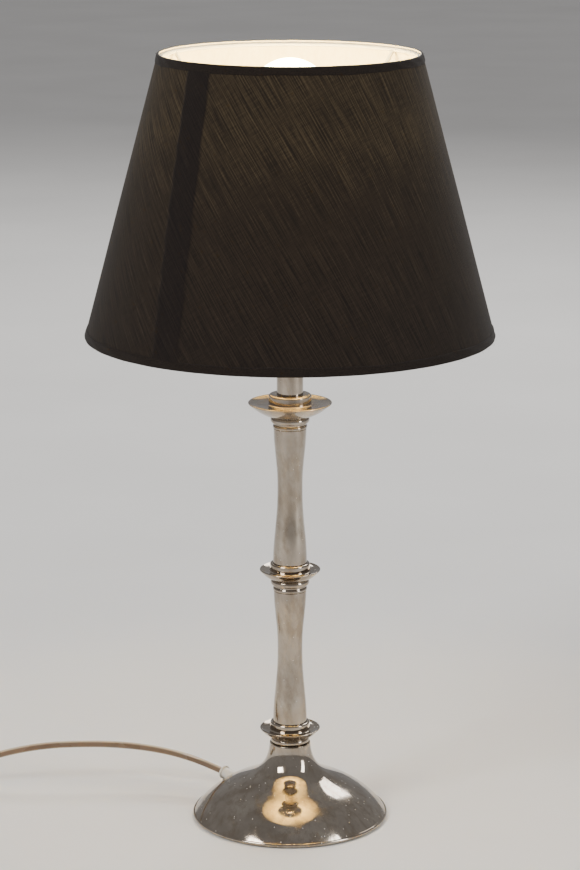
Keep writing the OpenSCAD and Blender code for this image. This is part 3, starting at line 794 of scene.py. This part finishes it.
def build_saucer(node, boss_radius, boss_height):
    """Thin dished disc: rolled edge, shallow upper face and a raised boss for the tube above."""
    low, high, radius = span_mm(node)
    tall, edge, dip, foot_radius, steps = high - low, 0.5, 1.5, 13.9, 24
    rim = tall - boss_height
    under = [(foot_radius + (radius - foot_radius - edge) * t, (rim - 2 * edge) * (0.35 * t + 0.65 * t * t))
             for t in shares(steps)]
    lip = arc((radius - edge, rim - edge), edge, -80, 80, 10)
    over = [(boss_radius + 1 + (radius - boss_radius - 1 - edge) * t, rim - dip * (1 - t * t))
            for t in shares(steps)[-2::-1]]
    cove = arc((boss_radius + 1, rim - 0.5), 1.0, 270, 180, 6)
    shoulder = arc((boss_radius - 1.5, tall - 1.5), 1.5, 0, 90, 8)
    outline = [(ROD_HOLE, 0), *under, *lip, *over[:-1], *cove, *shoulder, (ROD_HOLE, tall)]
    spin_metal(node + "_spun", lift(outline, low), node, 160)


STEM_WAIST = 9.35
STEM_FOOT = 12.7
STEM_HEAD = 12.2
STEM_WALL = 1.4
WAIST_SHARE = 0.56


def stem_radius(share):
    """The waisted tube's radius at a share of its height."""
    below = share < WAIST_SHARE
    away = (WAIST_SHARE - share) / WAIST_SHARE if below else (share - WAIST_SHARE) / (1 - WAIST_SHARE)
    end = STEM_FOOT if below else STEM_HEAD
    return STEM_WAIST + (end - STEM_WAIST) * ((1 - math.cos(math.pi * away)) / 2) ** 1.2


def build_stem(node):
    low, high, _ = span_mm(node)
    round_off = 0.3
    outer = [(stem_radius(t), low + (high - low) * t) for t in shares(72)[1:-1]]
    inner = [(r - STEM_WALL, z) for r, z in reversed(outer)]
    foot = [(STEM_FOOT - STEM_WALL, low), (STEM_FOOT - round_off, low), (STEM_FOOT, low + round_off)]
    head = [(STEM_HEAD, high - round_off), (STEM_HEAD - round_off, high), (STEM_HEAD - STEM_WALL, high)]
    spin_metal(node + "_spun", [*foot, *outer, *head, *inner], node)


def build_neck():
    low, high, radius = span_mm("neck_tube")
    wall, round_off = 1.2, 0.25
    outline = [(radius - wall, low), (radius - round_off, low), (radius, low + round_off),
               (radius, high - round_off), (radius - round_off, high), (radius - wall, high)]
    spin_metal("neck_sleeve", outline, "neck_tube", 96)


build_bell()
build_collars()
build_saucer("lower_disc", 15, 5)
build_saucer("middle_disc", 15, 5)
build_saucer("top_dish", 15.8, 6.2)
build_stem("lower_stem")
build_stem("upper_stem")
build_neck()
paint(FELT, "felt_pad")
paint(IRON, "base_weight")
paint(STEEL, "base_plate", "plate_screws", "clamp_screws", "base_washer", "base_nut", "holder_nut")
paint(BRASS, "threaded_rod", "switch_contacts", "terminal_screws", "centre_contact", "screw_shell")
paint(BUTTON, "cord_clamp")
paint(LEAD, "cord_inside")
paint(PORCELAIN, "switch_block", "holder_insert")

# ---------------- bulb holder


def build_cap():
    low, high, radius = span_mm("holder_cap")
    wall = 2
    curve = [(11, 0), (15.5, 0.4), (18.6, 4.5), (radius, 12)]
    outer = [tuple(bezier(curve, t)) for t in shares(16)]
    groove = [(radius, 19), (radius - 0.5, 19.4), (radius - 0.5, 20.2), (radius, 20.6)]
    inner = [(radius - wall, high - low), (radius - wall, 12), (16.6, 8.5), (14, 5.5), (11, 4), (ROD_HOLE, 4)]
    outline = [(ROD_HOLE, 0), *outer, *groove, (radius, high - low), *inner]
    piece = turned("holder_cup", mm(lift(outline, low)), 128)
    bar_low, bar_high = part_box("switch_bar")
    height = (bar_low[2] + bar_high[2]) / 2
    # The cutter stands a hair off the axis with an odd number of sides, so no edge lies on an edge
    across = stand_at((-0.03, 0.00004, height), 90, "Y")
    cutter = turned("bar_cutter", mm([(0, 0), (2.9, 0), (2.9, 60), (0, 60)]), 37, matrix=across)
    cut_away(piece, cutter, "bar_hole")
    finish_piece(piece, BAKELITE, "stand", "holder_black", "holder_cap")


def build_bar():
    low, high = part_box("switch_bar")
    long, radius = (high[0] - low[0]) / MM, 2.5
    button = arc((2.4, 0.6), 0.99, -60, 60, 8)
    far_button = arc((2.4, long - 0.6), 0.99, -60, 60, 8)
    outline = [(0, 0), (2.4, 0), *button, (2.4, 1.2), (radius, 1.3), (radius, long - 1.3),
               (2.4, long - 1.2), *far_button, (2.4, long), (0, long)]
    across = stand_at((low[0], (low[1] + high[1]) / 2, (low[2] + high[2]) / 2), 90, "Y")
    piece = turned("push_bar", mm(outline), 48, matrix=across)
    finish_piece(piece, BUTTON, "switch", "switch_white", "switch_bar")


THREAD_DEPTH = 0.8
SLEEVE_PITCH = 2.5
BULB_PITCH = 3.6


def threaded(root, low, pitch, start, end):
    """A wobble that lifts an outline to low, and grows a round-topped screw thread on its outside."""

    def grow(angle, r, z):
        height, grown = z / MM, 0
        if r > (root - 0.01) * MM:
            phase = 2 * math.pi * height / pitch - angle
            fade = ease(start, start + 1, height) * (1 - ease(end - 1, end, height))
            grown = THREAD_DEPTH * (0.5 + 0.5 * math.cos(phase)) ** 0.8 * fade * MM
        return r + grown, z + low * MM

    return grow


def build_sleeve():
    low, high, radius = span_mm("holder_sleeve")
    root, bore, tall, step = radius - THREAD_DEPTH, 16.4, high - low, 0.25
    outer = [(root, step * k) for k in range(1, int((tall - 1.5) / step) + 1)]
    outline = [(bore, 0), (root, 0), *outer, (root, tall - 1), (root - 0.3, tall - 0.3), (root - 1, tall),
               (bore + 0.4, tall), (bore, tall - 0.4)]
    thread = threaded(root, low, SLEEVE_PITCH, 2.5, tall - 1.6)
    piece = turned("holder_thread", mm(outline), 144, sharp=60, wobble=thread)
    finish_piece(piece, BAKELITE, "stand", "holder_black", "holder_sleeve")


NUT_GROOVES = 24
GROOVE_DEPTH = 0.9


def build_ring_nuts():
    """Ring nuts with rounded finger ribs."""
    for node in ("lower_ring_nut", "upper_ring_nut"):
        low, high, radius = span_mm(node)
        tall, hole = high - low, 19.85
        outline = [(hole, 0.2), (hole + 0.25, 0), (radius - 1.4, 0), (radius - 0.3, 0.3), (radius, 1),
                   (radius, tall - 1), (radius - 0.3, tall - 0.3), (radius - 1.4, tall), (hole + 0.25, tall),
                   (hole, tall - 0.2)]

        def ribs(angle, r, z, edge=radius, base=low):
            outside = ease(edge - 2, edge - 0.5, r / MM)
            groove = max(0, math.cos(NUT_GROOVES * angle)) ** 3
            return r - GROOVE_DEPTH * MM * groove * outside, z + base * MM

        piece = turned(node + "_ribbed", mm(outline), 288, sharp=45, wobble=ribs)
        finish_piece(piece, BAKELITE, "stand", "holder_black", node)


build_cap()
build_bar()
build_sleeve()
build_ring_nuts()

# ---------------- bulb


def build_bulb():
    low, high, radius = span_mm("bulb_glass")
    centre, neck, glass, globe_end = high - radius, 12.0, 0.8, -35
    last = math.radians(globe_end)

    def outline(smaller):
        r = radius - smaller
        globe = arc((0, centre), r, 90, globe_end, 64)
        start, end = Vector(globe[-1]), Vector((neck - smaller, low))
        lean = Vector((math.sin(last), -math.cos(last))) * 14
        throat = [start, start + lean, end + Vector((0, 16)), end]
        return [(max(x, 0), z) for x, z in globe + [tuple(bezier(throat, t)) for t in shares(24)[1:]]]

    piece = turned("bulb_envelope", mm(outline(0) + outline(glass)[::-1]), 128)
    finish_piece(piece, GLOW, "bulb", "opal_glass", "bulb_glass")


def build_bulb_cap():
    low, high, radius = span_mm("bulb_cap")
    root, tall, step = radius - 0.85, high - low, 0.3
    rows = [(root, 1.8 + step * k) for k in range(int(18 / step) + 1)]
    inner = [(root - 0.15, tall), (root - 0.15, 19), (root - 0.5, 18), (root - 0.5, 2), (10.4, 0.6), (6, 0.6)]
    outline = [(6, 0), (10.6, 0), (11.6, 0.5), (root - 0.1, 1.4), *rows, (root + 0.1, 20.3),
               (root + 0.25, 20.6), (root + 0.25, tall), *inner]
    thread = threaded(root, low, BULB_PITCH, 1.6, 20)
    piece = turned("bulb_screw_cap", mm(outline), 128, sharp=60, wobble=thread)
    finish_piece(piece, STEEL, "bulb", "cap_nickel", "bulb_cap")


build_bulb()
build_bulb_cap()
paint(BLACK_GLASS, "bulb_insulator")
paint(BRASS, "bulb_tip")
paint(CLEAR, "bulb_mount")
paint(STEEL, "bulb_filament")

# ---------------- shade

SHADE_LOW, SHADE_HIGH, SHADE_FOOT_RADIUS = span("shade_cover")
HEM_HEIGHT = 0.006
HEM_OUT = 0.0005  # how far the hem's solid stands out from the cover
CONE_LEAN = 0.2676  # how much the cover's radius falls for each unit of height
# The top hem's widest place is its lower edge
SHADE_TOP_RADIUS = span("shade_top_trim")[2] - HEM_OUT - HEM_HEIGHT * CONE_LEAN
SHADE_SLOPE = (SHADE_FOOT_RADIUS - SHADE_TOP_RADIUS) / (SHADE_HIGH - SHADE_LOW)
COVER_THICKNESS = 0.0008
LINING_THICKNESS = 0.0005
CONE_SHARE = SHADE_SLOPE / math.hypot(1, SHADE_SLOPE)  # turn of the flat cut per turn of the shade
SEAM_TOP = (-47, -35)  # degrees from the front, the overlap's two edges at the top
SEAM_FOOT = (-39.5, -31.5)
SEAM_STEP = 0.45  # degrees over which the overlap's edge rises
SEAM_RISE = 0.0004
FRONT = -90  # degrees from +X to the front
WAVER = 0.00012


def shade_radius(height):
    return SHADE_FOOT_RADIUS - (height - SHADE_LOW) * SHADE_SLOPE


def turn_from_front(angle):
    """Degrees from the front to an angle in radians, between -180 and 180."""
    return (math.degrees(angle) - FRONT + 180) % 360 - 180


def seam_share(angle, height):
    """1 on the overlap of the cover's two ends, 0 away from it."""
    share = (height - SHADE_LOW) / (SHADE_HIGH - SHADE_LOW)
    first, last = (a + (b - a) * share for a, b in zip(SEAM_FOOT, SEAM_TOP))
    turn = turn_from_front(angle)
    return ease(first - SEAM_STEP, first, turn) * (1 - ease(last, last + SEAM_STEP, turn))


def build_cover():
    """The cloth, with its own thickness, overlap and slight unevenness, and the flat cut as its UV map."""
    around, up = 480, 96
    points, uvs, layers, faces = [], [], [], []
    for inside in (0, 1):
        for row in range(up + 1):
            z = SHADE_LOW + (SHADE_HIGH - SHADE_LOW) * row / up
            for angle in turns(around):
                layer = seam_share(angle, z)
                ripple = math.sin(5 * angle + 31 * z) * math.sin(13 * angle - 23 * z)
                ripple *= 1 - 2 * abs(row / up - 0.5)
                r = shade_radius(z) - COVER_THICKNESS * inside
                r += (1 - inside) * (layer * SEAM_RISE + WAVER * ripple)
                points.append(polar(angle, r, z))
                reach = shade_radius(z) / CONE_SHARE
                flat = math.radians(turn_from_front(angle)) * CONE_SHARE
                uvs.append((reach * math.sin(flat), -reach * math.cos(flat)))
                layers.append(layer)
    skin = (up + 1) * around
    for row in range(up + 1):
        for step in range(around):
            a, b = row * around + step, row * around + (step + 1) % around
            if row < up:
                faces.append([a, b, b + around, a + around])
                faces.append([skin + a, skin + a + around, skin + b + around, skin + b])
            if row in (0, up):
                faces.append([a, skin + a, skin + b, b] if row == 0 else [a, b, skin + b, skin + a])
    cover = add_mesh("fabric_cover", points, faces, 60, uvs)
    store = cover.data.attributes.new("layers", "FLOAT", "POINT")
    store.data.foreach_set("value", layers)
    return finish_piece(cover, FABRIC, "shade", "shade_fabric", "shade_cover")


def build_lining():
    inner = [(shade_radius(z) - COVER_THICKNESS - LINING_THICKNESS, z)
             for z in (SHADE_LOW + (SHADE_HIGH - SHADE_LOW) * t for t in shares(24))]
    outer = [(r + LINING_THICKNESS - 0.00002, z) for r, z in reversed(inner)]
    piece = turned("lining_sheet", inner + outer, 240)
    finish_piece(piece, LINING, "shade", "lining", "shade_lining")


def build_trim(name, low, high, node):
    """A folded strip glued round an edge of the cover: rounded over, slightly uneven, a little loose."""
    thick, outer = 0.00055, []
    for share in shares(10):
        z = low + (high - low) * share
        full = 1 - abs(2 * share - 1) ** 6
        outer.append((shade_radius(z) + 0.00005 + thick * (0.35 + 0.65 * full), z))
    inner = [(shade_radius(z) - 0.0001, z) for _, z in reversed(outer)]

    def uneven(angle, r, z):
        inner_edge = (z - low if name == "top_hem" else high - z) / (high - low)
        near = max(0, 1 - inner_edge * 2)
        drift = 0.0003 * (math.sin(7 * angle) + 0.6 * math.sin(19 * angle + 1.3)) * near
        puff = 0.00012 * math.sin(31 * angle + 900 * z)
        return (r + puff if r > shade_radius(z) else r), z + drift

    piece = turned(name, outer + inner, 360, sharp=60, wobble=uneven)
    return finish_piece(piece, TRIM, "shade", "shade_fabric", node)


def build_fibres():
    """Loose thread ends along both edges of the cloth."""
    rng = random.Random(7)
    points, faces, steps = [], [], 5
    for edge, count in ((SHADE_HIGH, 150), (SHADE_LOW, 110)):
        for _ in range(count):
            angle = rng.uniform(0, 2 * math.pi)
            z = edge + rng.uniform(-0.0006, 0.0002)
            out = polar(angle, 1)
            base = polar(angle, shade_radius(z) + 0.0002, z)
            side = Vector((-math.sin(angle), math.cos(angle), 0)) * rng.choice((-1, 1))
            rise = 1 if edge == SHADE_HIGH else -1
            long = rng.uniform(0.0012, 0.0045)
            tip = base + out * long * rng.uniform(0.1, 0.5) + side * long * rng.uniform(0.2, 1)
            tip.z += rise * long * rng.uniform(0, 0.5)
            bend = (base + tip) / 2 + out * long * rng.uniform(0, 0.3)
            thick = rng.uniform(0.00003, 0.00006)
            first = len(points)
            for t in shares(steps):
                middle = base * (1 - t) ** 2 + bend * (2 * t * (1 - t)) + tip * t * t
                slim = thick * (1 - 0.6 * t)
                for a in turns(3):
                    points.append(middle + (out * math.cos(a) + Vector((0, 0, 1)) * math.sin(a)) * slim)
            for k in range(steps):
                for s in range(3):
                    here, after = first + 3 * k + s, first + 3 * k + (s + 1) % 3
                    faces.append([here, after, after + 3, here + 3])
            last = len(points) - 3
            faces += [[first, first + 1, first + 2], [last, last + 1, last + 2]]
    piece = add_mesh("edge_fibres", points, faces, 80)
    return finish_piece(piece, TRIM, "shade", "shade_fabric")


ARM_PLACES = ((35, "right"), (155, "left"), (275, "front"))  # degrees from +X
ARM_FOOT = 0.0268  # from the axis to the arm's end on the ring
ARM_KNEE = 0.0292  # from the axis to the bend


def build_fitter():
    """Carrier ring with three arms that rise to the top wire, and the two wire hoops in the shade's ends."""
    ring_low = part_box("shade_fitter")[0][2] / MM
    hole, reach, thick = 20.1, 31, 2
    ring = [(hole, 0.3), (hole + 0.3, 0), (reach - 0.6, 0), (reach, 0.6), (reach, thick - 0.6),
            (reach - 0.6, thick), (hole + 0.3, thick), (hole, thick - 0.3)]
    piece = turned("carrier_ring", mm(lift(ring, ring_low)), 128)
    finish_piece(piece, WHITE_WIRE, "shade", "steel", "shade_fitter")
    hoop_low, hoop_high, hoop_reach = span("shade_top_ring")
    wire = (hoop_high - hoop_low) / 2
    hoop_radius, hoop_height = hoop_reach - wire, (hoop_low + hoop_high) / 2
    for turn, name in ARM_PLACES:
        angle = math.radians(turn)
        foot = polar(angle, ARM_FOOT, (ring_low + thick / 2) * MM)
        knee = polar(angle, ARM_KNEE, (ring_low + thick / 2 + 0.4) * MM)
        head = polar(angle, hoop_radius - wire * 0.4, hoop_height - wire * 0.4)
        path = [foot.lerp(knee, t) for t in shares(3)[:-1]] + [knee.lerp(head, t) for t in shares(40)]
        arm = round_wire("fitter_arm_" + name, path, wire * 0.92)
        finish_piece(arm, WHITE_WIRE, "shade", "steel", "shade_fitter")
    for node, name in (("shade_top_ring", "top_hoop"), ("shade_foot_ring", "foot_hoop")):
        low_z, high_z, outside = span(node)
        radius = (high_z - low_z) / 2
        section = arc((outside - radius, (low_z + high_z) / 2), radius, 0, 345, 23)
        finish_piece(turned(name, section, 256), WHITE_WIRE, "shade", "steel", node)


COVER = build_cover()
build_lining()
TOP_HEM = build_trim("top_hem", SHADE_HIGH - HEM_HEIGHT, SHADE_HIGH, "shade_top_trim")
FOOT_HEM = build_trim("foot_hem", SHADE_LOW, SHADE_LOW + HEM_HEIGHT, "shade_foot_trim")
FIBRES = build_fibres()
build_fitter()


# ---------------- studio


FLOOR_DROP = 0.0001  # keeps the floor off the felt's own lower face


def add_floor():
    """A wide round floor, out past the edge of every view."""
    mesh = bpy.data.meshes.new("studio_floor")
    reach, sides = 16, 96
    mesh.from_pydata([polar(t, reach, -FLOOR_DROP) for t in turns(sides)], [], [list(range(sides))])
    floor = bpy.data.objects.new("studio_floor", mesh)
    floor.data.materials.append(floor_look())
    bpy.context.collection.objects.link(floor)


LIT_POINT = Vector((0, 0, 0.3))  # what every light is aimed at


def add_light(name, place, size, watts):
    data = bpy.data.lights.new(name, "AREA")
    data.shape = "RECTANGLE"
    data.size, data.size_y = size
    data.energy = watts
    light = bpy.data.objects.new(name, data)
    light.location = place
    light.rotation_euler = (LIT_POINT - Vector(place)).to_track_quat("-Z", "Y").to_euler()
    bpy.context.collection.objects.link(light)


def add_world():
    world = bpy.data.worlds.new("studio")
    world.use_nodes = True
    backdrop = world.node_tree.nodes["Background"]
    backdrop.inputs["Color"].default_value = (0.8, 0.8, 0.82, 1)
    backdrop.inputs["Strength"].default_value = 0.42
    bpy.context.scene.world = world


add_floor()
add_light("key", (-1.7, -1.5, 2.0), (1.0, 1.0), 56)
add_light("fill", (1.9, -0.9, 1.2), (0.5, 1.6), 24)
add_light("back", (0.5, 2.4, 2.2), (2.4, 1.0), 60)
add_world()
